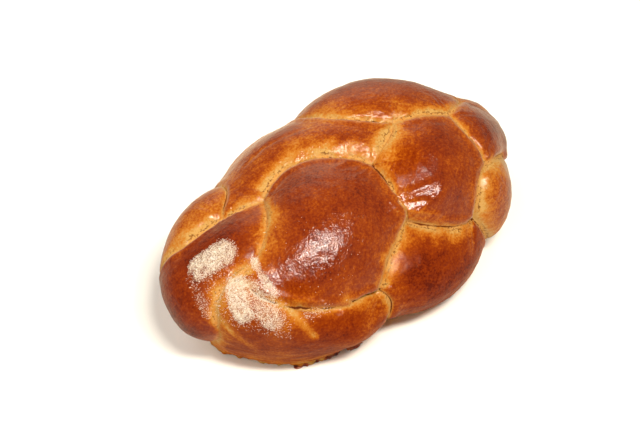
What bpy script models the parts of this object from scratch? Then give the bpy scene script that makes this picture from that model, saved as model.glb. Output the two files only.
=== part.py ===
# Plaited loaf: four ropes of dough wound round one another and baked into one body.
# Units are metres, +X along the loaf, +Z up, and the loaf rests on z = 0.
import bpy
import bmesh
from math import cos, pi, radians, sin
from mathutils import Matrix, Vector

MM = 0.001

# The plait's round: an ellipse that every lobe lies on, seen along the loaf.
ROUND_HALF_WIDTH = 44 * MM
ROUND_HALF_RISE = 30 * MM
ROUND_CENTRE_Y = -8 * MM
ROUND_CENTRE_Z = 36 * MM

# How a rope runs over one crossing: it dives to pass under the next rope.
DIVE = 0.56
END_SWELL = 0.08
RUN_STEPS = 20
SECTION_STEPS = 36
CAP_STEPS = 7

# One row for each place where a rope crosses on top and swells into a lobe:
# station of its crown along the loaf (mm), clock angle round it (degrees; 0 is the -Y side, 90 the top),
# reach (share of the round), half run (mm), lean to the loaf's length (degrees),
# half width and half thickness (mm).
LOBES = {
    "tip": (-72, 73, 0.78, 37, 6, 29, 22),
    "near low": (-50, -32, 1.28, 48.5, -21, 40, 20.5),
    "near back": (-72, 144, 0.82, 30, 8, 20, 22),
    "crown": (-35.5, 38.5, 0.93, 60, 48, 45, 32),
    "ridge": (-3, 133, 0.97, 60, -28, 35, 32),
    "shoulder": (47, 70, 0.93, 35, 43, 43, 27),
    "middle low": (18, -10, 1.13, 44, -17, 31, 35),
    "back top": (36, 134, 1.21, 42, -19, 35, 30),
    "back low": (-14, 168, 1.06, 42, 30, 32, 27),
    "far back": (42, 168, 1.06, 40, -25, 32, 28),
    "far top": (78, 68, 0.8, 22, 36, 29, 23),
    "far low": (74, 9, 1.04, 21, -12, 28, 17),
    "far end": (80, 146, 0.62, 26, -24, 28, 20),
}

# The dough between the ropes: centre and half axes (mm) of two plain swellings.
HEART = {
    "core": ((-5, -8, 36), (80, 34, 26)),
    "foot": ((-6, -5, 20), (94, 55, 30)),
}

CELL = 2.0 * MM
CREASE_SOFTENING = 2
KEPT_FACES = 0.155
TRAY_SNAP = 0.25 * MM


def clear_scene():
    for item in list(bpy.data.objects):
        bpy.data.objects.remove(item, do_unlink=True)


def round_point(station, clock, reach):
    across = ROUND_CENTRE_Y - ROUND_HALF_WIDTH * reach * cos(clock)
    height = ROUND_CENTRE_Z + ROUND_HALF_RISE * reach * sin(clock)
    return Vector((station, across, height))


def round_normal(clock):
    return Vector((0, -cos(clock) * ROUND_HALF_RISE, sin(clock) * ROUND_HALF_WIDTH)).normalized()


def lobe_path(station, clock, reach, run, lean):
    """Centre and clock angle at each step along one rope's crossing."""
    path = []
    for step in range(RUN_STEPS + 1):
        along = 2 * step / RUN_STEPS - 1
        turn = run * along * sin(lean) / (ROUND_HALF_WIDTH * max(reach, 0.5))
        sunk = reach * (1 - DIVE * along ** 2)
        place = round_point(station + run * along * cos(lean), clock + turn, sunk)
        path.append((along, place, clock + turn))
    return path


def section_frame(path, index):
    """Unit vectors along the rope, across it and out of the loaf."""
    before = path[max(index - 1, 0)][1]
    after = path[min(index + 1, len(path) - 1)][1]
    along = (after - before).normalized()
    out = round_normal(path[index][2])
    out = (out - along * out.dot(along)).normalized()
    return along, along.cross(out), out


def add_ring(mesh, centre, across, out, half_width, half_thick):
    ring = []
    for step in range(SECTION_STEPS):
        angle = 2 * pi * step / SECTION_STEPS
        spot = centre + across * half_width * cos(angle) + out * half_thick * sin(angle)
        ring.append(mesh.verts.new(spot))
    return ring


def join_rings(mesh, first, second):
    for step in range(SECTION_STEPS):
        follow = (step + 1) % SECTION_STEPS
        mesh.faces.new((first[step], first[follow], second[follow], second[step]))


def close_ring(mesh, ring, tip):
    point = mesh.verts.new(tip)
    for step in range(SECTION_STEPS):
        mesh.faces.new((ring[step], ring[(step + 1) % SECTION_STEPS], point))


def cap_rings(mesh, centre, frame, half_width, half_thick, side):
    """Rounded end of a rope: rings that shrink like a half ellipsoid."""
    along, across, out = frame
    bulge = min(half_width, half_thick)
    rings = []
    for step in range(1, CAP_STEPS):
        angle = pi / 2 * step / CAP_STEPS
        place = centre + along * side * bulge * sin(angle)
        rings.append(add_ring(mesh, place, across, out, half_width * cos(angle), half_thick * cos(angle)))
    return rings, centre + along * side * bulge


def add_lobe(mesh, station, clock, reach, run, lean, half_width, half_thick):
    path = lobe_path(station * MM, radians(clock), reach, run * MM, radians(lean))
    rings = []
    ends = []
    for index, (along, centre, _) in enumerate(path):
        swell = 1 + END_SWELL * along ** 2
        frame = section_frame(path, index)
        size = (half_width * MM * swell, half_thick * MM * swell)
        rings.append(add_ring(mesh, centre, frame[1], frame[2], *size))
        if index in (0, RUN_STEPS):
            ends.append(cap_rings(mesh, centre, frame, *size, -1 if index == 0 else 1))
    rings = ends[0][0][::-1] + rings + ends[1][0]
    for first, second in zip(rings, rings[1:]):
        join_rings(mesh, first, second)
    close_ring(mesh, rings[0], ends[0][1])
    close_ring(mesh, rings[-1], ends[1][1])


def add_swelling(mesh, centre, half_axes):
    place = Matrix.Translation(Vector(centre) * MM) @ Matrix.Diagonal((*(Vector(half_axes) * MM), 1))
    bmesh.ops.create_icosphere(mesh, subdivisions=4, radius=1, matrix=place)


def make_material():
    material = bpy.data.materials.new("baked crust")
    material.use_nodes = True
    shader = material.node_tree.nodes["Principled BSDF"]
    shader.inputs["Base Color"].default_value = (0.40, 0.10, 0.018, 1)
    shader.inputs["Roughness"].default_value = 0.35
    shader.inputs["Metallic"].default_value = 0.0
    return material


def new_object(name, mesh):
    data = bpy.data.meshes.new(name)
    mesh.to_mesh(data)
    mesh.free()
    item = bpy.data.objects.new(name, data)
    bpy.context.scene.collection.objects.link(item)
    return item


def make_ropes():
    mesh = bmesh.new()
    for sizes in LOBES.values():
        add_lobe(mesh, *sizes)
    for centre, half_axes in HEART.values():
        add_swelling(mesh, centre, half_axes)
    bmesh.ops.recalc_face_normals(mesh, faces=mesh.faces)
    return new_object("ropes", mesh)


def make_tray_cutter():
    """A block whose top is the baking tray, z = 0."""
    mesh = bmesh.new()
    size = Matrix.Diagonal((0.4, 0.3, 0.1, 1))
    bmesh.ops.create_cube(mesh, size=1, matrix=Matrix.Translation((0, 0, -0.05)) @ size)
    cutter = new_object("tray cutter", mesh)
    cutter.hide_render = True
    cutter.display_type = "WIRE"
    return cutter


def merge_ropes(ropes, cutter):
    """Fuse the ropes, soften the creases, flatten the base on the tray and thin the mesh."""
    fuse = ropes.modifiers.new("fuse", "REMESH")
    fuse.mode = "VOXEL"
    fuse.voxel_size = CELL
    soften = ropes.modifiers.new("soften", "SMOOTH")
    soften.factor = 0.5
    soften.iterations = CREASE_SOFTENING
    tray = ropes.modifiers.new("tray", "BOOLEAN")
    tray.operation = "DIFFERENCE"
    tray.solver = "EXACT"
    tray.object = cutter
    thin = ropes.modifiers.new("thin", "DECIMATE")
    thin.ratio = KEPT_FACES
    bpy.context.view_layer.update()
    baked = ropes.evaluated_get(bpy.context.evaluated_depsgraph_get())
    return bpy.data.meshes.new_from_object(baked)


def finish_loaf(data):
    """One clean closed body, its base exactly on z = 0 and its box centred on the origin."""
    mesh = bmesh.new()
    mesh.from_mesh(data)
    bmesh.ops.triangulate(mesh, faces=mesh.faces)
    for corner in mesh.verts:
        if corner.co.z < TRAY_SNAP:
            corner.co.z = 0
    bmesh.ops.dissolve_degenerate(mesh, edges=mesh.edges, dist=0.02 * MM)
    bmesh.ops.triangulate(mesh, faces=mesh.faces)
    xs = [corner.co.x for corner in mesh.verts]
    ys = [corner.co.y for corner in mesh.verts]
    shift = Vector((-(min(xs) + max(xs)) / 2, -(min(ys) + max(ys)) / 2, 0))
    bmesh.ops.translate(mesh, verts=mesh.verts, vec=shift)
    bmesh.ops.recalc_face_normals(mesh, faces=mesh.faces)
    loaf = new_object("loaf", mesh)
    loaf.data.materials.append(make_material())
    loaf.data.shade_smooth()
    return loaf


clear_scene()
ropes = make_ropes()
cutter = make_tray_cutter()
merged = merge_ropes(ropes, cutter)
finish_loaf(merged)
for helper in (ropes, cutter):
    bpy.data.objects.remove(helper, do_unlink=True)
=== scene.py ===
# Braided loaf: the looks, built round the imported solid
from math import cos, pi, radians, sin
import bmesh
import bpy
import numpy as np
from mathutils import Matrix, Vector, kdtree, noise


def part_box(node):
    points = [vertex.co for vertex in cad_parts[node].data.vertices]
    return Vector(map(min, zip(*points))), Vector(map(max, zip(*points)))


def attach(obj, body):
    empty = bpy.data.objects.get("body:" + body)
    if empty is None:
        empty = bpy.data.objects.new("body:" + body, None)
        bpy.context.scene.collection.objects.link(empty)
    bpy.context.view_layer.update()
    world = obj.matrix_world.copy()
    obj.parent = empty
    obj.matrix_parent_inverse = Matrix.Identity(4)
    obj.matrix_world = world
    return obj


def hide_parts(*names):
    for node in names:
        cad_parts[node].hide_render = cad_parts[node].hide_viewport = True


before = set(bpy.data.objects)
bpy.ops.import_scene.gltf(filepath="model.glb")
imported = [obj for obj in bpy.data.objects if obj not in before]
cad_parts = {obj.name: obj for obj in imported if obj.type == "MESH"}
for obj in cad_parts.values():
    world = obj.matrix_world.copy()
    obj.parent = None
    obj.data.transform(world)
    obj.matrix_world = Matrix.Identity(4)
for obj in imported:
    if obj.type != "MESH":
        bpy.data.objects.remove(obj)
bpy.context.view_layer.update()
loafLow, loafHigh = [np.array(corner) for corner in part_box("loaf")]
mm = 0.001
rng = np.random.default_rng(7)


def linear(hexText, alpha=1.0):
    # sRGB hex to linear colour
    parts = [int(hexText[i:i + 2], 16) / 255 for i in (1, 3, 5)]
    return [c / 12.92 if c <= 0.04045 else ((c + 0.055) / 1.055) ** 2.4 for c in parts] + [alpha]


def addNode(tree, kind, settings=None, **links):
    # one node: settings are its properties, its sockets' values or a ramp's stops, and links feed its sockets
    node = tree.nodes.new(kind)
    for name, value in (settings or {}).items():
        if name == "stops":
            line = node.color_ramp
            while len(line.elements) < len(value):
                line.elements.new(0.5)
            for element, (place, colour) in zip(line.elements, value):
                element.position = place
                element.color = linear(colour)
        elif isinstance(name, str) and hasattr(node, name):
            setattr(node, name, value)
        else:
            node.inputs[name].default_value = value
    for name, source in links.items():
        key = int(name[1:]) if name[0] == "i" and name[1:].isdigit() else name.replace("_", " ")
        tree.links.new(source, node.inputs[key])
    return node


def newMaterial(name):
    material = bpy.data.materials.new(name)
    material.use_nodes = True
    tree = material.node_tree
    return material, tree, tree.nodes["Principled BSDF"]


plait = {
    "round": (44, 30, -8, 36),  # half width, half rise, centre y and z of the loaf's round, mm
    "dive": 0.56,  # how far a rope's ends sink towards the middle
    "endSwell": 0.08,
    "runSteps": 21,
    "sectionSteps": 40,
    "capSteps": 8,
    "cell": 1.25,  # size of the fine mesh, mm
    # station, clock angle, reach, half run, lean, half width, half thickness
    "lobes": {
        "tip": (-72, 73, 0.78, 37, 6, 29, 22),
        "nearLow": (-50, -32, 1.28, 48.5, -21, 40, 20.5),
        "nearBack": (-72, 144, 0.82, 30, 8, 20, 22),
        "crown": (-35.5, 38.5, 0.93, 60, 48, 45, 32),
        "ridge": (-3, 133, 0.97, 60, -28, 35, 32),
        "shoulder": (47, 70, 0.93, 35, 43, 43, 27),
        "middleLow": (18, -10, 1.13, 44, -17, 31, 35),
        "backTop": (36, 134, 1.21, 42, -19, 35, 30),
        "backLow": (-14, 168, 1.06, 42, 30, 32, 27),
        "farBack": (42, 168, 1.06, 40, -25, 32, 28),
        "farTop": (78, 68, 0.80, 22, 36, 29, 23),
        "farLow": (74, 9, 1.04, 21, -12, 28, 17),
        "farEnd": (80, 146, 0.62, 26, -24, 28, 20),
    },
    "heart": (((-5, -8, 36), (80, 34, 26)), ((-6, -5, 20), (94, 55, 30))),
}
lobeNames = list(plait["lobes"])


def lobeLine(row, steps):
    # centres, section frames and half sizes along one rope's crossing, mm
    station, clock, reach, run, lean, wide, thick = row
    halfWidth, halfRise, roundY, roundZ = plait["round"]
    t = np.linspace(-1, 1, steps)
    angle = radians(clock) + run * t * sin(radians(lean)) / (halfWidth * max(reach, 0.5))
    far = reach * (1 - plait["dive"] * t ** 2)
    centre = np.stack([station + run * t * cos(radians(lean)),
                       roundY - halfWidth * far * np.cos(angle),
                       roundZ + halfRise * far * np.sin(angle)], 1)
    out = np.stack([0 * t, -np.cos(angle) * halfRise, np.sin(angle) * halfWidth], 1)
    out /= np.linalg.norm(out, axis=1, keepdims=True)
    along = np.gradient(centre, axis=0)
    along /= np.linalg.norm(along, axis=1, keepdims=True)
    out -= (out * along).sum(1, keepdims=True) * along
    out /= np.linalg.norm(out, axis=1, keepdims=True)
    swell = 1 + plait["endSwell"] * t ** 2
    return t, centre, along, np.cross(along, out), out, wide * swell, thick * swell


def sweepLobe(mesh, row):
    t, centre, along, across, out, wide, thick = lobeLine(row, plait["runSteps"])
    caps = [pi / 2 * k / plait["capSteps"] for k in range(1, plait["capSteps"])]
    stations = [(0, -1, a) for a in reversed(caps)]
    stations += [(k, 0, 0) for k in range(len(t))]
    stations += [(len(t) - 1, 1, a) for a in caps]
    turn = [2 * pi * k / plait["sectionSteps"] for k in range(plait["sectionSteps"])]
    rings = []
    for k, side, a in stations:
        bulge = min(wide[k], thick[k])
        middle = centre[k] + along[k] * side * bulge * sin(a)
        points = [middle + (across[k] * wide[k] * cos(b) + out[k] * thick[k] * sin(b)) * cos(a) for b in turn]
        rings.append([mesh.verts.new(p * mm) for p in points])
    for first, second in zip(rings, rings[1:]):
        for k in range(len(turn)):
            n = (k + 1) % len(turn)
            mesh.faces.new((first[k], first[n], second[n], second[k]))
    mesh.faces.new(rings[0][::-1])
    mesh.faces.new(rings[-1])


def fuseRopes():
    # the ropes and the dough between them, fused by a voxel remesh
    mesh = bmesh.new()
    for row in plait["lobes"].values():
        sweepLobe(mesh, row)
    for centre, axes in plait["heart"]:
        place = Matrix.Translation(Vector(centre) * mm) @ Matrix.Diagonal((*(Vector(axes) * mm), 1))
        bmesh.ops.create_icosphere(mesh, subdivisions=5, radius=1, matrix=place)
    bmesh.ops.recalc_face_normals(mesh, faces=mesh.faces)
    data = bpy.data.meshes.new("ropes")
    mesh.to_mesh(data)
    mesh.free()
    ropes = bpy.data.objects.new("ropes", data)
    bpy.context.scene.collection.objects.link(ropes)
    fuse = ropes.modifiers.new("fuse", "REMESH")
    fuse.mode = "VOXEL"
    fuse.voxel_size = plait["cell"] * mm
    bpy.context.view_layer.update()
    fused = bpy.data.meshes.new_from_object(ropes.evaluated_get(bpy.context.evaluated_depsgraph_get()))
    bpy.data.objects.remove(ropes, do_unlink=True)
    return fused


def readPoints(data):
    points = np.empty(len(data.vertices) * 3)
    data.vertices.foreach_get("co", points)
    return points.reshape(-1, 3) / mm


def readNormals(data):
    normals = np.empty(len(data.vertices) * 3)
    data.vertices.foreach_get("normal", normals)
    return normals.reshape(-1, 3)


def writePoints(data, points):
    data.vertices.foreach_set("co", (points * mm).ravel())
    data.update()


def readEdges(data):
    edges = np.empty(len(data.edges) * 2, dtype=np.int64)
    data.edges.foreach_get("vertices", edges)
    return edges.reshape(-1, 2)


def relax(values, edges, rounds, share=0.5):
    # neighbour averaging of any per-point values
    count = np.bincount(edges.ravel(), minlength=len(values)).clip(1)
    values = values.astype(float)
    for _ in range(rounds):
        total = np.zeros_like(values)
        if values.ndim == 1:
            total = (np.bincount(edges[:, 0], values[edges[:, 1]], len(values))
                     + np.bincount(edges[:, 1], values[edges[:, 0]], len(values)))
            mean = total / count
        else:
            for k in range(values.shape[1]):
                total[:, k] = (np.bincount(edges[:, 0], values[edges[:, 1], k], len(values))
                               + np.bincount(edges[:, 1], values[edges[:, 0], k], len(values)))
            mean = total / count[:, None]
        values = values + (mean - values) * share
    return values


def lobeGaps(points, steps=25):
    # how far each point stands from each lobe's skin, and its place along and across that lobe, mm
    gaps, alongs, acrosses = [], [], []
    for row in plait["lobes"].values():
        t, centre, along, across, out, wide, thick = lobeLine(row, steps)
        bulge = np.minimum(wide, thick)
        best = np.full(len(points), 1e9)
        run = np.zeros(len(points))
        side = np.zeros(len(points))
        for k in range(steps):
            d = points - centre[k]
            x, y, z = d @ along[k], d @ across[k], d @ out[k]
            gap = (np.sqrt((x / bulge[k]) ** 2 + (y / wide[k]) ** 2 + (z / thick[k]) ** 2) - 1) * bulge[k]
            nearer = gap < best
            best[nearer] = gap[nearer]
            run[nearer] = t[k] * row[3] + x[nearer]
            side[nearer] = y[nearer]
        gaps.append(best)
        alongs.append(run)
        acrosses.append(side)
    return np.stack(gaps, 1), np.stack(alongs, 1), np.stack(acrosses, 1)


def noiseAt(points, size, seed):
    # smooth noise, one value for each point, for features about size mm across
    shift = Vector((seed * 17.3, seed * 5.1, seed * 9.7))
    return np.array([noise.noise(Vector(p) / size + shift) for p in points])


seams = {
    # (under lobe, over lobe): width of the pale torn dough on the under and the over side, crack depth,
    # and height of the upper rope's rolled edge, all mm
    ("ridge", "crown"): (6.0, 0.9, 1.2, 0.9),
    ("ridge", "shoulder"): (5.0, 4.2, 0.8, 0.3),
    ("shoulder", "crown"): (2.6, 0.6, 1.6, 0.8),
    ("middleLow", "shoulder"): (7.0, 0.8, 1.8, 0.9),
    ("middleLow", "crown"): (5.5, 2.0, 1.0, 0.5),
    ("nearLow", "crown"): (1.3, 0.4, 3.0, 1.3),
    ("tip", "crown"): (2.8, 4.6, 0.5, 0.2),
    ("nearBack", "tip"): (5.0, 0.8, 1.0, 0.8),
    ("ridge", "tip"): (3.0, 3.0, 1.0, 0.5),
    ("nearLow", "tip"): (2.6, 2.8, 0.6, 0.3),
    ("backTop", "ridge"): (1.6, 0.3, 1.4, 0.8),
    ("backTop", "shoulder"): (5.0, 1.8, 1.0, 0.6),
    ("backTop", "farTop"): (3.5, 1.6, 1.0, 0.5),
    ("farTop", "shoulder"): (1.2, 0.4, 1.6, 0.7),
    ("farLow", "farTop"): (4.0, 0.6, 1.0, 0.5),
    ("farLow", "shoulder"): (4.0, 0.4, 1.2, 0.7),
    ("farLow", "middleLow"): (2.6, 0.8, 1.0, 0.5),
    ("nearBack", "ridge"): (0.8, 0.4, 2.2, 0.7),
    ("nearLow", "middleLow"): (2.0, 0.8, 1.6, 0.8),
    "other": (3.4, 1.2, 1.4, 0.7),
}


def seamTable():
    # the same facts as arrays indexed by (lobe the point is on, lobe across the seam)
    n = len(lobeNames)
    width = np.full((n, n), seams["other"][1])
    depth = np.full((n, n), seams["other"][2])
    lip = np.full((n, n), seams["other"][3])
    over = np.triu(np.ones((n, n)))
    width[np.tril_indices(n)] = seams["other"][0]
    for pair, row in seams.items():
        if pair == "other":
            continue
        low, high = [lobeNames.index(name) for name in pair]
        width[low, high], width[high, low] = row[:2]
        over[low, high], over[high, low] = 0, 1
        depth[low, high] = depth[high, low] = row[2]
        lip[low, high] = lip[high, low] = row[3]
    return width, depth, lip, over


def findSeams(points, edges, gaps):
    # places where the nearest lobe changes, as a tree of points with their two lobes
    order = np.argsort(gaps, axis=1)
    own = order[:, 0]
    spread = np.take_along_axis(gaps, order[:, 1:2], 1)[:, 0] - np.take_along_axis(gaps, order[:, :1], 1)[:, 0]
    a, b = edges.T
    cut = own[a] != own[b]
    a, b = a[cut], b[cut]
    share = (spread[a] / (spread[a] + spread[b] + 1e-9))[:, None]
    places = points[a] * (1 - share) + points[b] * share
    tree = kdtree.KDTree(len(places))
    for k, place in enumerate(places):
        tree.insert(place, k)
    tree.balance()
    pairs = np.stack([own[a], own[b]], 1)
    return own, tree, places, pairs


def measureSeams(points, own, tree, pairs):
    # distance to the nearest seam and the lobe on the other side
    distance = np.empty(len(points))
    across = np.empty(len(points), dtype=int)
    for k, point in enumerate(points):
        _, found, far = tree.find(point)
        distance[k] = far
        first, second = pairs[found]
        across[k] = second if first == own[k] else first
    return distance, across


def findPinches(places, pairs):
    # where three lobes meet: seam points of different pairs within 2 mm of each other, thinned out
    tree = kdtree.KDTree(len(places))
    for k, place in enumerate(places):
        tree.insert(place, k)
    tree.balance()
    found = []
    for k, place in enumerate(places):
        near = {tuple(sorted(pairs[i])) for _, i, _ in tree.find_range(place, 2.0)}
        if len(near) > 1 and all(np.linalg.norm(place - p) > 12 for p in found):
            found.append(place)
    return np.array(found)


relief = {
    "swell": (0.9, 26.0),  # slow unevenness of the dough: height and size, mm
    "lumps": (0.24, 7.0),
    "grain": (0.12, 2.8),
    "smoothing": 14,  # rounds that even out the domes, away from the seams
    # ropes whose seam lies further out or in than their round: place, reach and how far, mm
    "lifts": (("nearLow", (-28, -78, 47), 20.0, 4.5), ("crown", (18, -47, 70), 13.0, -5.0)),
    "crackWidth": 1.2,
    "lipPlace": 3.6,  # distance of the upper rope's rolled edge from the seam
    "scoop": 1.1,  # hollow of the torn dough on the lower rope
    "pinchReach": 10.0,
    "pinchHeight": 0.55,
    "pinchFolds": 13,
    "footReach": 30.0,  # height from which the sides spread or tuck in towards the tray, mm
    "foot": {"nearLow": 0.0, "tip": 0.0, "middleLow": -4.5, "farLow": -2.0},  # how far, mm
    "footElse": 1.0,
    "skirt": (2.2, 3.0),  # thin rim of dough on the tray: how far out and how high, mm
    "frill": (2.4, 3.0),  # ragged edge at the tray: height, and how high up it reaches, mm
    "strata": (1.1, 2.6, 16.0),  # wrinkles low on the side: height, spacing, and how high up they reach
}

# lines where the skin stretched or folded within one rope (plait's frame, mm):
# path, half width of the fold, its height, half width of the paler dough, and how pale
stretches = (
    (((-87, -56, 66), (-79, -67, 61), (-76, -74, 55), (-72, -81, 46)), 1.5, -1.3, 2.6, 0.8),
    (((-74, -79, 50), (-71, -82, 44)), 1.0, 0.5, 1.0, 1.0),
    (((-81, -60, 66), (-74, -68, 61), (-66, -72, 58), (-58, -74, 57)), 1.3, -2.0, 0.1, 0.0),
    (((-116, -40, 58), (-114, -48, 53), (-110, -55, 43)), 0.8, 0.4, 1.3, 1.0),
    (((-116, -39, 59), (-115, -47, 55), (-111, -55, 47), (-103, -63, 32)), 1.6, -1.1, 2.6, 0.75),
    (((13, -41, 75), (20, -42, 77), (28, -45, 78), (36, -47, 79)), 2.0, 1.0, 0.1, 0.0),
    (((12, -47, 71), (19, -49, 69), (26, -54, 67), (35, -59, 64)), 1.8, 1.1, 1.0, 0.3),
    (((12, -44, 74), (20, -47, 73), (30, -51, 73)), 1.6, -1.3, 1.0, 0.25),
    (((-9, -10, 88), (2, -10, 89), (14, -10, 88)), 1.7, 0.8, 0.1, 0.0),
    (((-46, -74, 56), (-40, -79, 51), (-33, -80, 48)), 1.5, -1.0, 2.2, 0.5),
    (((12, -47, 71), (25, -50, 73), (38, -52, 74)), 11.0, 4.5, 1.0, 0.0),
    (((-49, -78, 51), (-36, -80, 46), (-25, -80, 45)), 3.6, 1.8, 1.0, 0.0),
    (((-44, -84, 31), (-26, -81, 29)), 12.0, 4.0, 1.0, 0.0),
    (((-46, 33, 76), (-31, 35, 81), (-16, 32, 86), (0, 27, 89)), 1.4, -0.5, 1.2, 0.2),
)


def distanceToPath(points, path):
    best = np.full(len(points), 1e9)
    for first, second in zip(path, path[1:]):
        a, b = np.array(first, float), np.array(second, float)
        t = np.clip((points - a) @ (b - a) / ((b - a) @ (b - a)), 0, 1)
        best = np.minimum(best, np.linalg.norm(points - a - t[:, None] * (b - a), axis=1))
    return best


def pinchFolds(points, normals, pinches):
    # folds that run out from each place where the dough is pinched
    push = np.zeros(len(points))
    for k, pinch in enumerate(pinches):
        d = points - pinch
        far = np.linalg.norm(d, axis=1)
        near = far < relief["pinchReach"] * 3
        normal = normals[near].mean(0)
        normal /= np.linalg.norm(normal)
        side = np.cross(normal, (0.3, 0.5, 0.8))
        side /= np.linalg.norm(side)
        angle = np.arctan2(d[near] @ np.cross(normal, side), d[near] @ side)
        wobble = noiseAt(points[near], 9.0, 40 + k)
        fade = np.exp(-far[near] / relief["pinchReach"]) * (1 - np.exp(-(far[near] / 3.0) ** 2))
        push[near] += relief["pinchHeight"] * fade * np.sin(relief["pinchFolds"] * angle + 5 * wobble)
    return push


def browning(points, own, distance, pale, strata):
    # how brown each point is baked: most on the domes of the upper ropes, least in the torn seams and at the foot
    lobeBake = np.array([crust["lobeBake"].get(name, 0) for name in lobeNames])
    brown = crust["bake"] + lobeBake[own] - crust["edgeLight"] * np.exp(-distance / crust["edgeReach"])
    brown += 0.15 * noiseAt(points, 24.0, 11) + 0.10 * noiseAt(points, 9.0, 12)
    brown -= crust["footLight"] * np.clip(1 - points[:, 2] / 34, 0, 1) ** 1.5
    brown += 0.9 * strata - 0.5 * np.exp(-(points[:, 2] / 2.5) ** 2)
    place, reach, more = crust["darkSpot"]
    brown += more * np.exp(-(np.linalg.norm(points - place, axis=1) / reach) ** 2)
    return np.clip(brown - crust["paleLight"] * pale, 0, 1)


def shapeLoaf(data):
    edges = readEdges(data)
    points = relax(readPoints(data), edges, 3)
    writePoints(data, points)
    gaps, alongs, acrosses = lobeGaps(points)
    for name, place, reach, rise in relief["lifts"]:
        far = np.linalg.norm(points - place, axis=1)
        gaps[:, lobeNames.index(name)] -= rise * np.exp(-(far / reach) ** 2)
    own, tree, places, pairs = findSeams(points, edges, gaps)
    distance, across = measureSeams(points, own, tree, pairs)
    print("seams:", len(places), "points")
    away = np.clip((distance - 2) / 6, 0, 1)
    points = relax(points, edges, relief["smoothing"], 0.5 * away[:, None])
    writePoints(data, points)
    normals = readNormals(data)
    width, depth, lip, over = (table[own, across] for table in seamTable())
    wander = noiseAt(points, 9.0, 1)
    band = (width * (1 + 0.9 * wander)).clip(0.3)
    pale = 0.6 * np.exp(-(distance / band) ** 2) + 0.4 * np.exp(-(distance / (2.2 * band)) ** 2)
    pale *= np.clip(0.85 + 1.1 * noiseAt(points, 12.0, 17), 0.35, 1)
    crack = depth * np.clip(0.7 + 1.6 * noiseAt(points, 13.0, 2), 0.05, 1.7)
    push = -crack * np.exp(-(distance / relief["crackWidth"]) ** 2)
    push += over * lip * np.exp(-((distance - relief["lipPlace"]) / 2.2) ** 2)
    push -= (1 - over) * relief["scoop"] * np.exp(-(distance / band.clip(1)) ** 2)
    for seed, (name, least) in enumerate((("swell", 1), ("lumps", 0.3), ("grain", 1))):
        tall, size = relief[name]
        push += tall * noiseAt(points, size, 3 + seed) * np.clip(distance / 6, least, 1)
    push += pinchFolds(points, normals, findPinches(places, pairs))
    for path, wide, tall, paleWide, paleMost in stretches:
        far = distanceToPath(points, path)
        push += tall * np.exp(-(far / wide) ** 2)
        pale = np.maximum(pale, paleMost * np.exp(-(far / paleWide) ** 2))
    tall, spacing, reach = relief["strata"]
    strata = noiseAt(points * (1 / 12, 1 / 12, 1 / spacing), 1.0, 6) * np.exp(-points[:, 2] / reach)
    strata *= np.clip(points[:, 2] / 1.5, 0, 1)
    push += tall * strata
    frill = noiseAt(points * (1, 1, 0.3), 3.2, 14) + 0.6 * noiseAt(points, 7.0, 15)
    push += relief["frill"][0] * frill * np.exp(-abs(points[:, 2]) / relief["frill"][1])
    values = {
        "seamSide": np.clip(distance, 0, 8) * (2 * over - 1),
        "pale": pale,
        "crack": np.clip(crack / 2.4, 0, 1),
        "brown": browning(points, own, distance, pale, strata),
        "ropeAlong": alongs[np.arange(len(own)), own],
        "ropeAcross": acrosses[np.arange(len(own)), own] + 100 * own,
        "matt": relax(np.array([crust["lobeMatt"].get(name, 0) for name in lobeNames])[own], edges, 12),
    }
    for place, reach, most in crust["mattSpots"]:
        spot = most * np.exp(-(np.linalg.norm(points - place, axis=1) / reach) ** 2)
        values["matt"] = np.maximum(values["matt"], spot)
    points = points + normals * push[:, None]
    spread = np.array([relief["foot"].get(name, relief["footElse"]) for name in lobeNames])[own]
    spread = spread * np.clip(1 - points[:, 2] / relief["footReach"], 0, 1) ** 1.5
    points = points + relax(normals * (1, 1, 0) * spread[:, None], edges, 6)
    skirt = relief["skirt"][0] * (1 + 1.3 * noiseAt(points * (1, 1, 0), 5.0, 16))
    points = points + normals * (1, 1, 0) * (skirt * np.exp(-(points[:, 2] / relief["skirt"][1]) ** 2))[:, None]
    return points, values


def seatOnTray(points):
    # how the plait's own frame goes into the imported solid's box
    low, high = points.min(0), points.max(0)
    target = (loafHigh - loafLow) / mm
    scale = target / (high - low)
    print("fit to the solid:", scale.round(4))
    middle = (loafLow + loafHigh) / 2 / mm
    return lambda places: (places - (low + high) / 2) * scale + middle


def setAttribute(data, name, values):
    layer = data.attributes.new(name, "FLOAT", "POINT")
    layer.data.foreach_set("value", values.astype(np.float32))


def makeLoaf():
    data = fuseRopes()
    data.name = "bakedLoaf"
    print("fused mesh:", len(data.vertices), "points")
    points, values = shapeLoaf(data)
    points[:, 2] = np.maximum(points[:, 2], 0)
    toFrame = seatOnTray(points)
    values["dust"] = sugarCover(points)
    points = toFrame(points)
    writePoints(data, points)
    normals = readNormals(data)
    values["matt"] = np.maximum(values["matt"], np.clip(1.3 - points[:, 2] / 45, 0, 1))
    values["base"] = np.clip(1 - points[:, 2] / 1.5, 0, 1) * (normals[:, 2] < -0.5)
    for name, array in values.items():
        setAttribute(data, name, array)
    data.shade_smooth()
    loaf = bpy.data.objects.new("bakedLoaf", data)
    bpy.context.scene.collection.objects.link(loaf)
    return loaf, values["dust"], toFrame


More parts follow.
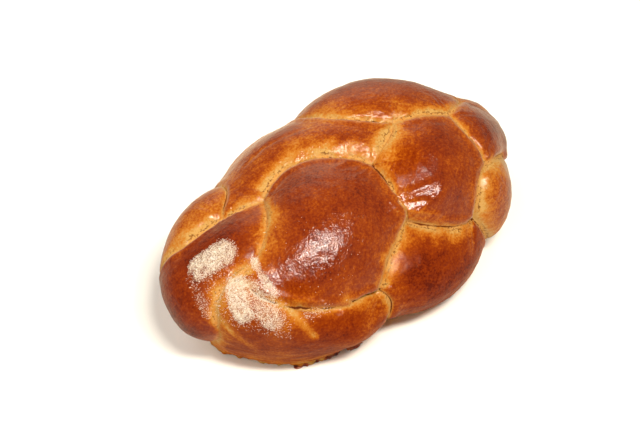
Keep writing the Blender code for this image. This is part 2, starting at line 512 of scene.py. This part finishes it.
crust = {
    "bake": 0.78,  # browning of a dome's middle, 0 raw dough to 1 darkest
    "lobeBake": {"tip": 0.14, "nearLow": -0.05, "middleLow": 0.10, "farTop": 0.12, "shoulder": 0.02, "ridge": -0.06,
                 "crown": 0.03, "backTop": -0.02, "nearBack": -0.12, "farLow": -0.22, "backLow": -0.05},
    # how matt each rope is, where less egg wash took
    # where hardly any took: place, reach in mm, and how matt
    "mattSpots": (((31, -28, 86), 17.0, 1.0), ((-72, -63, 67), 14.0, 0.9), ((-90, -30, 78), 10.0, 0.9)),
    "lobeMatt": {"nearLow": 0.75, "middleLow": 0.65, "tip": 0.35, "backTop": 0.25},
    "darkSpot": ((-49, -83, 47), 13.0, 0.24),  # where egg wash gathered: place, reach in mm, extra browning
    "edgeLight": 0.36,
    "edgeReach": 11.0,  # mm
    "footLight": 0.54,
    "paleLight": 0.60,
    "stops": ((0.0, "#BA8E4E"), (0.14, "#B27C38"), (0.27, "#B46D22"), (0.40, "#A85B12"), (0.50, "#9B4806"),
              (0.62, "#873502"), (0.80, "#752501"), (1.0, "#521201")),
    # size in mm and detail of each fine pattern, and how strongly it browns the skin
    "patterns": {"mottle": (4.2, 5.0, 0.44), "fleck": (1.4, 3.0, 0.85), "streak": (2.4, 3.0, 0.34)},
    "poreSize": 1.5,
    # dark colour of the pores and cracks, also used as painted shade in the seam's groove
    "poreAndCrackShade": "#561C06",
    # colour of the painted bounce light deep in the torn creases
    "paintedCreaseGlow": "#C87C3A",
    "dust": "#EAD3B0",
    "base": "#A8703A",
}


def eggWashedCrust():
    # Enriched wheat dough, brushed with egg and oven browned: a thin glossy film over a matt, fine-pored skin.
    # It gives the eye broken highlights on the domes and dull, pale, torn dough in the creases.
    material, tree, shader = newMaterial("eggWashedCrust")
    place = addNode(tree, "ShaderNodeTexCoord").outputs["Object"]
    at = {name: addNode(tree, "ShaderNodeAttribute", {"attribute_name": name}).outputs["Fac"]
          for name in ("seamSide", "pale", "crack", "brown", "ropeAlong", "ropeAcross", "dust", "matt", "base")}
    # the brush's streaks run along each rope: a place that is squeezed along it
    lengthwise = addNode(tree, "ShaderNodeMath", {"operation": "MULTIPLY", 1: 0.00007}, i0=at["ropeAlong"])
    crosswise = addNode(tree, "ShaderNodeMath", {"operation": "MULTIPLY", 1: 0.001}, i0=at["ropeAcross"])
    rope = addNode(tree, "ShaderNodeCombineXYZ", X=lengthwise.outputs[0], Y=crosswise.outputs[0]).outputs[0]
    pattern, bake = {}, at["brown"]
    for name, (size, detail, strength) in crust["patterns"].items():
        look = {"Scale": 1000 / size, "Detail": detail, "Roughness": 0.68}
        where = rope if name == "streak" else place
        pattern[name] = addNode(tree, "ShaderNodeTexNoise", look, Vector=where).outputs["Fac"]
        lift = addNode(tree, "ShaderNodeMath", {"operation": "MULTIPLY_ADD", 1: strength, 2: -strength / 2},
                       i0=pattern[name])
        bake = addNode(tree, "ShaderNodeMath", {"operation": "ADD"}, i0=bake, i1=lift.outputs[0]).outputs[0]
    colour = addNode(tree, "ShaderNodeValToRGB", {"stops": crust["stops"]}, Fac=bake).outputs["Color"]
    # pores in the torn dough, and two dark hairlines: the one in the seam is painted shade in the bottom of the seam's
    # groove together with the crack's own dark edge, the other wanders beside it on the lower rope as a crack in the
    # torn dough
    poreLook = {"Scale": 1000 / crust["poreSize"], "Detail": 2.0}
    poreNoise = addNode(tree, "ShaderNodeTexNoise", poreLook, Vector=place).outputs["Fac"]
    pores = addNode(tree, "ShaderNodeMapRange", {"From Min": 0.60, "From Max": 0.68}, Value=poreNoise).outputs[0]
    torn = addNode(tree, "ShaderNodeMapRange", {"From Min": 0.45, "From Max": 0.8}, Value=at["pale"]).outputs[0]
    pores = addNode(tree, "ShaderNodeMath", {"operation": "MULTIPLY"}, i0=pores, i1=torn).outputs[0]
    offset = addNode(tree, "ShaderNodeMath", {"operation": "MULTIPLY_ADD", 1: 7.0, 2: -1.2}, i0=pattern["mottle"])
    beside = addNode(tree, "ShaderNodeMath", {"operation": "ADD"}, i0=at["seamSide"], i1=offset.outputs[0])
    # where the groove is deeper both dark lines are drawn wider, which paints more shade in the seam's crack
    darkLineWidening = addNode(tree, "ShaderNodeMapRange", {"From Min": 0.5, "From Max": 1.0, "To Max": 0.2}, Value=at["crack"])
    darkLineWidening = darkLineWidening.outputs[0]
    marks = [pores]
    for line, gate, least, most in ((at["seamSide"], at["crack"], 0.26, 0.50),
                                    (beside.outputs[0], poreNoise, 0.42, 0.50)):
        far = addNode(tree, "ShaderNodeMath", {"operation": "ABSOLUTE"}, i0=line).outputs[0]
        far = addNode(tree, "ShaderNodeMath", {"operation": "SUBTRACT"}, i0=far, i1=darkLineWidening).outputs[0]
        thin = addNode(tree, "ShaderNodeMapRange", {"From Min": 0.12, "From Max": 0.45, "To Min": 1.0, "To Max": 0.0},
                       Value=far).outputs[0]
        where = addNode(tree, "ShaderNodeMapRange", {"From Min": least, "From Max": most}, Value=gate).outputs[0]
        marks.append(addNode(tree, "ShaderNodeMath", {"operation": "MULTIPLY"}, i0=thin, i1=where).outputs[0])
    marks[2] = addNode(tree, "ShaderNodeMath", {"operation": "MULTIPLY"}, i0=marks[2], i1=torn).outputs[0]
    # painted bounce light: deep in a crease the colour is shifted to a lighter, redder orange, as if the two ropes
    # glowed on each other
    depth = addNode(tree, "ShaderNodeMath", {"operation": "ABSOLUTE"}, i0=at["seamSide"]).outputs[0]
    paintedGlowShare = addNode(tree, "ShaderNodeMapRange", {"From Min": 0.4, "From Max": 2.4, "To Min": 1.0, "To Max": 0.0},
                   Value=depth).outputs[0]
    paintedGlowShare = addNode(tree, "ShaderNodeMath", {"operation": "MULTIPLY"}, i0=paintedGlowShare, i1=torn).outputs[0]
    dusty = addNode(tree, "ShaderNodeMapRange", {"From Min": 0.35, "From Max": 0.6, "To Min": 0.1, "To Max": 1.0},
                    Value=pattern["fleck"]).outputs[0]
    dusty = addNode(tree, "ShaderNodeMath", {"operation": "MULTIPLY", "use_clamp": True}, i0=dusty, i1=at["dust"])
    layers = [(paintedGlowShare, crust["paintedCreaseGlow"], 0.35)]
    # the dark pore colour marks the real pores and the wandering crack, and is painted shade for the line in the seam
    layers += [(share, crust["poreAndCrackShade"], most) for share, most in zip(marks, (0.8, 0.95, 0.75))]
    layers += [(dusty.outputs[0], crust["dust"], 0.3), (at["base"], crust["base"], 1.0)]
    for share, hexText, most in layers:
        share = addNode(tree, "ShaderNodeMath", {"operation": "MULTIPLY", 1: most}, i0=share).outputs[0]
        colour = addNode(tree, "ShaderNodeMix", {"data_type": "RGBA", 7: linear(hexText)}, i0=share, i6=colour).outputs[2]
    tree.links.new(colour, shader.inputs["Base Color"])
    dull = at["base"]
    for other in (at["pale"], at["dust"], at["matt"], marks[1]):
        dull = addNode(tree, "ShaderNodeMath", {"operation": "MAXIMUM", "use_clamp": True}, i0=dull, i1=other).outputs[0]
    for socket, shiny, matt in (("Roughness", 0.5, 0.8), ("Coat Weight", 1.0, 0.02)):
        fall = addNode(tree, "ShaderNodeMapRange", {"From Min": 0.2, "From Max": 0.8, "To Min": shiny, "To Max": matt},
                       Value=dull)
        tree.links.new(fall.outputs[0], shader.inputs[socket])
    shader.inputs["Coat Roughness"].default_value = 0.11
    fuzz = addNode(tree, "ShaderNodeMapRange", {"To Min": 0.48, "To Max": 0.05}, Value=dull).outputs[0]
    tree.links.new(fuzz, shader.inputs["Sheen Weight"])
    shader.inputs["Sheen Roughness"].default_value = 0.4
    shader.inputs["Sheen Tint"].default_value = linear("#FFE2C0")
    shader.inputs["Coat IOR"].default_value = 1.56
    shader.inputs["IOR"].default_value = 1.4
    shader.inputs["Specular IOR Level"].default_value = 0.04
    # orange peel of the dried film, blisters of the skin, and the brush's marks
    peelNoise = addNode(tree, "ShaderNodeTexNoise", {"Scale": 1000 / 1.3, "Detail": 2.0}, Vector=place).outputs["Fac"]
    normal = {}
    for height, depth in ((peelNoise, 0.3), (pattern["mottle"], 0.6), (pattern["streak"], 0.3)):
        normal = {"Normal": addNode(tree, "ShaderNodeBump", {"Strength": 0.7, "Distance": depth * mm}, Height=height,
                                    **normal).outputs["Normal"]}
    for socket in ("Normal", "Coat Normal"):
        tree.links.new(normal["Normal"], shader.inputs[socket])
    return material


sugar = {
    # one end, other end (plait's frame, mm), radius, cover
    "patches": (
        ((-109, -16, 72), (-94, -18, 77), 9.0, 0.85),
        ((-99, -39, 72), (-104, -54, 65), 8.0, 0.85),
        ((-94, -47, 71), (-91, -65, 61), 8.0, 0.5),
        ((-82, -33, 75), (-84, -50, 71), 3.4, 0.8),
        ((-84, -50, 71), (-83, -55, 68), 3.4, 0.5),
        ((-116, -18, 67), (-118, -32, 62), 3.6, 0.08),
        ((-118, -28, 63), (-119, -38, 57), 4.0, 0.16),
        ((-73, -73, 57), (-58, -73, 56), 4.2, 0.08),
        ((-104, -28, 68), (-94, -62, 60), 19.0, 0.035),
        ((-89, -73, 46), (-95, -68, 50), 7.0, 0.05),
        ((-60, -45, 82), (-40, -62, 74), 26.0, 0.0012),
    ),
    "size": (0.24, 0.56),  # coarse sugar, mm
    "count": 18000,
}


def sugarCover(points):
    # share of the crust that sugar covers, by point
    cover = np.zeros(len(points))
    for first, second, radius, most in sugar["patches"]:
        far = distanceToPath(points, (first, second)) / radius
        cover = np.maximum(cover, most * np.clip(1.35 - far ** 2 * 1.35, 0, 1))
    clump = 0.9 + 1.0 * noiseAt(points, 3.5, 8)
    return cover * np.clip(clump, 0.05, 1)


def makeSugar(loaf, cover):
    # grains are rough little crystals, seated on faces that are picked by cover and area
    data = loaf.data
    data.calc_loop_triangles()
    corners = np.empty(len(data.loop_triangles) * 3, dtype=np.int64)
    data.loop_triangles.foreach_get("vertices", corners)
    corners = corners.reshape(-1, 3)
    points = readPoints(data)
    normals = readNormals(data)
    a, b, c = (points[corners[:, k]] for k in range(3))
    area = np.linalg.norm(np.cross(b - a, c - a), axis=1) / 2
    chance = area * cover[corners].mean(1) * (normals[corners].mean(1)[:, 2] > 0.1)
    picked = rng.choice(len(corners), sugar["count"], p=chance / chance.sum())
    u, v = rng.random((2, len(picked)))
    fold = u + v > 1
    u[fold], v[fold] = 1 - u[fold], 1 - v[fold]
    seats = a[picked] + u[:, None] * (b - a)[picked] + v[:, None] * (c - a)[picked]
    ups = normals[corners[picked]].mean(1)
    size = rng.uniform(*sugar["size"], len(picked)) * rng.uniform(0.7, 1.0, len(picked))
    shape = np.array([(1, 0, 0), (0, 1, 0), (-1, 0, 0), (0, -1, 0), (0, 0, 1), (0, 0, -1)]) * 0.6
    sides = [(k, (k + 1) % 4, 4) for k in range(4)] + [((k + 1) % 4, k, 5) for k in range(4)]
    turn = rng.normal(size=(len(picked), 3, 3))
    turn = np.linalg.qr(turn)[0]
    turn[:, :, 0] *= np.sign(np.linalg.det(turn))[:, None]
    local = shape[None] * rng.uniform(0.8, 1.2, (len(picked), 6, 1)) * rng.uniform(0.7, 1.1, (len(picked), 1, 3))
    grains = np.einsum("gij,gkj->gki", turn, local) * size[:, None, None]
    grains += (seats + ups * size[:, None] * 0.22)[:, None]
    faces = (np.array(sides)[None] + 6 * np.arange(len(picked))[:, None, None]).reshape(-1, 3)
    mesh = bpy.data.meshes.new("coarseSugar")
    mesh.from_pydata((grains.reshape(-1, 3) * mm).tolist(), [], faces.tolist())
    mesh.update()
    item = bpy.data.objects.new("coarseSugar", mesh)
    bpy.context.scene.collection.objects.link(item)
    mesh.materials.append(sugarCrystals())
    print("sugar grains:", len(picked))
    return item


def sugarCrystals():
    # Coarse white sugar, crushed and sieved: small cloudy crystals that catch the light and take a warm tint.
    material, tree, shader = newMaterial("sugarCrystals")
    place = addNode(tree, "ShaderNodeTexCoord").outputs["Object"]
    tint = addNode(tree, "ShaderNodeTexNoise", {"Scale": 1000 / 1.5, "Detail": 1.0}, Vector=place).outputs["Fac"]
    stops = ((0.3, "#D6BEA0"), (0.5, "#EADAC4"), (0.7, "#F8F1E6"))
    colour = addNode(tree, "ShaderNodeValToRGB", {"stops": stops}, Fac=tint).outputs["Color"]
    tree.links.new(colour, shader.inputs["Base Color"])
    shader.inputs["Roughness"].default_value = 0.35
    shader.inputs["IOR"].default_value = 1.54
    shader.inputs["Transmission Weight"].default_value = 0.1
    return material


drips = {
    # place along the near foot, length, width, height, and how far out from the foot, mm
    "pools": ((-37, 13, 5.6, 4.2, 1.6), (-29, 5, 2.6, 1.8, 1.0), (-17, 7, 5.0, 4.6, 4.5), (-13, 4, 2.6, 2.0, 5.5)),
    # a ragged crust of small ones: from and to along the foot, how many, least and greatest length, and out, mm
    "run": (-76, -47, 46, 2.0, 6.5, (-2.9, -1.0)),
    "unevenness": 0.4,
    "stops": ((0.3, "#521404"), (0.5, "#84300C"), (0.7, "#B4662E")),
}


def makeDrips(loafPoints):
    # egg wash that ran down and baked on the tray: small lumpy pools against the foot
    foot = loafPoints[(loafPoints[:, 2] < 4) & (loafPoints[:, 1] < 0)]
    mesh = bmesh.new()
    start, end, count, least, most, reach = drips["run"]
    small = [(rng.uniform(start, end), rng.uniform(least, most), rng.uniform(1.4, 3.0), rng.uniform(1.0, 3.6),
              rng.uniform(*reach)) for _ in range(count)]
    for x, long, wide, tall, out in (*drips["pools"], *small):
        x = toFrame(np.array([[x, 0, 0]]))[0, 0]
        before, here, after = (foot[abs(foot[:, 0] - x - step) < 1.6, 1].min() for step in (-5, 0, 5))
        place = Vector((x, here - out, tall * 0.35))
        size = Matrix.Diagonal((long / 2, wide / 2, tall / 2 * 1.3, 1))
        shape = Matrix.Translation(place) @ Matrix.Rotation((after - before) / 10, 4, "Z") @ size
        added = bmesh.ops.create_icosphere(mesh, subdivisions=3, radius=1, matrix=shape)["verts"]
        for v in added:
            v.co += (v.co - place) * drips["unevenness"] * noise.fractal(v.co * 0.36, 0.8, 2.0, 3)
            v.co.z = max(v.co.z, 0)
    for v in mesh.verts:
        v.co *= mm
    data = bpy.data.meshes.new("bakedDrips")
    mesh.to_mesh(data)
    mesh.free()
    data.shade_smooth()
    data.materials.append(bakedEggWash())
    item = bpy.data.objects.new("bakedDrips", data)
    bpy.context.scene.collection.objects.link(item)
    print("drips:", len(data.vertices), "points")
    return item


def bakedEggWash():
    # Egg wash baked hard on a hot tray, like dark caramel: glassy and deep red-brown, lighter where it is thin.
    material, tree, shader = newMaterial("bakedEggWash")
    place = addNode(tree, "ShaderNodeTexCoord").outputs["Object"]
    depth = addNode(tree, "ShaderNodeTexNoise", {"Scale": 1000 / 3.5, "Detail": 3.0}, Vector=place).outputs["Fac"]
    colour = addNode(tree, "ShaderNodeValToRGB", {"stops": drips["stops"]}, Fac=depth).outputs["Color"]
    tree.links.new(colour, shader.inputs["Base Color"])
    shader.inputs["Roughness"].default_value = 0.3
    shader.inputs["IOR"].default_value = 1.5
    blister = addNode(tree, "ShaderNodeBump", {"Strength": 0.5, "Distance": 0.3 * mm}, Height=depth)
    tree.links.new(blister.outputs["Normal"], shader.inputs["Normal"])
    return material


def stageAndLight():
    # a plain white floor, left out of glossy reflections, and a dim studio world: grey below the horizon, a brighter
    # line at it, dark above
    plane = bpy.data.meshes.new("floor")
    half = 3.0
    plane.from_pydata([(-half, -half, 0), (half, -half, 0), (half, half, 0), (-half, half, 0)], [], [(0, 1, 2, 3)])
    floor = bpy.data.objects.new("floor", plane)
    bpy.context.scene.collection.objects.link(floor)
    material, tree, shader = newMaterial("paintedFloor")
    shader.inputs["Base Color"].default_value = linear("#F8F7F3")
    shader.inputs["Roughness"].default_value = 0.7
    shader.inputs["Specular IOR Level"].default_value = 0.1
    plane.materials.append(material)
    floor.visible_glossy = False
    world = bpy.data.worlds.new("studio")
    bpy.context.scene.world = world
    world.use_nodes = True
    tree = world.node_tree
    back = tree.nodes["Background"]
    where = addNode(tree, "ShaderNodeTexCoord").outputs["Generated"]
    height = addNode(tree, "ShaderNodeSeparateXYZ", Vector=where).outputs["Z"]
    level = addNode(tree, "ShaderNodeMapRange", {"From Min": -1.0, "From Max": 1.0}, Value=height).outputs[0]
    stops = ((0.0, "#989088"), (0.49, "#989088"), (0.50, "#A8A8A8"), (0.51, "#484848"), (1.0, "#3C3C3C"))
    glow = addNode(tree, "ShaderNodeValToRGB", {"stops": stops}, Fac=level).outputs["Color"]
    tree.links.new(glow, back.inputs["Color"])
    back.inputs["Strength"].default_value = 1.0


def addLamp(name, azimuth, elevation, distance, size, watts, colour="#FFFFFF"):
    lamp = bpy.data.lights.new(name, "AREA")
    lamp.shape = "DISK"
    lamp.size = size
    lamp.energy = watts
    lamp.color = linear(colour)[:3]
    item = bpy.data.objects.new(name, lamp)
    bpy.context.scene.collection.objects.link(item)
    a, e = radians(azimuth), radians(elevation)
    item.location = Vector((sin(a) * cos(e), -cos(a) * cos(e), sin(e))) * distance
    item.rotation_euler = (Vector((0, 0, 0.04)) - item.location).to_track_quat("-Z", "Y").to_euler()
    return item


view = {"azimuth": -35, "elevation": 50, "distance": 0.9, "target": (-7.5, 16, 35), "lens": 79}


def addCamera(shift):
    camera = bpy.data.cameras.new("camera")
    camera.lens = view["lens"]
    camera.sensor_width = 36
    camera.clip_start = 0.01
    item = bpy.data.objects.new("camera", camera)
    bpy.context.scene.collection.objects.link(item)
    a, e = radians(view["azimuth"]), radians(view["elevation"])
    back = Vector((sin(a) * cos(e), -cos(a) * cos(e), sin(e)))
    target = Vector(view["target"]) * mm + Vector(shift)
    item.location = target + back * view["distance"]
    item.rotation_euler = (-back).to_track_quat("-Z", "Y").to_euler()
    bpy.context.scene.camera = item


loaf, cover, toFrame = makeLoaf()
loaf.data.materials.append(eggWashedCrust())
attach(loaf, "root")
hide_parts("loaf")
grains = makeSugar(loaf, cover)
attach(grains, "root")
pools = makeDrips(readPoints(loaf.data))
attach(pools, "root")
stageAndLight()
addLamp("keyLeft", -14, 68, 1.2, 0.22, 8.5, "#FFFAEC")
addLamp("keyRight", 10, 63, 1.2, 0.22, 9, "#FFFAEC")
addLamp("backCard", 150, 28, 1.2, 0.85, 1.8, "#FFEFD0")
for k, (azimuth, watts) in enumerate(((-80, 11), (100, 2), (205, 8))):
    soft = addLamp("soft" + str(k), azimuth, 48, 1.6, 1.3, watts, "#FFFAF2")
    soft.visible_glossy = False
addCamera((0.0, 0.0, 0.0))
bpy.context.scene.view_settings.view_transform = "Standard"
